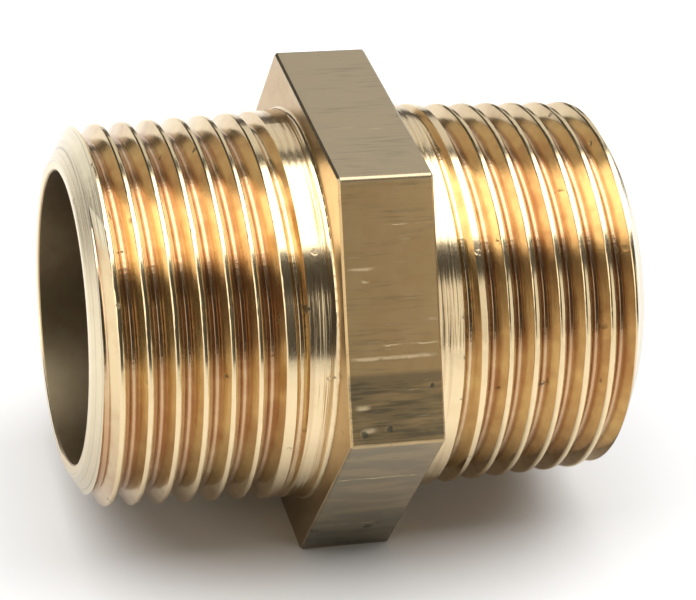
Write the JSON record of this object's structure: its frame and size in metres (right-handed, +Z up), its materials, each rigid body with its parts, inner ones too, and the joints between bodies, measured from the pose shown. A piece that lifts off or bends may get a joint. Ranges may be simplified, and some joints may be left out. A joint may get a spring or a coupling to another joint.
{
  "type": "hex nipple",
  "caption": "Short brass pipe nipple with a hexagon in the middle for a spanner, a tapered male pipe thread at each end, and a plain bore right through.",
  "frame": {"origin": "centre of the hexagon, on the bore's axis, which is also the middle of the fitting's length", "axes": "+X along the bore, +Z up, square to two of the hexagon's flats, +Y towards a corner of the hexagon; lying down, the fitting rests on the flat at -Z"},
  "size_m": [0.038, 0.0346, 0.03],
  "materials": {
    "turned_brass": "turned and lightly tarnished brass, satin on the flats, bright on the thread crests"
  },
  "bodies": {
    "root": {"hex_nipple_body": "turned_brass"}
  },
  "joints": []
}
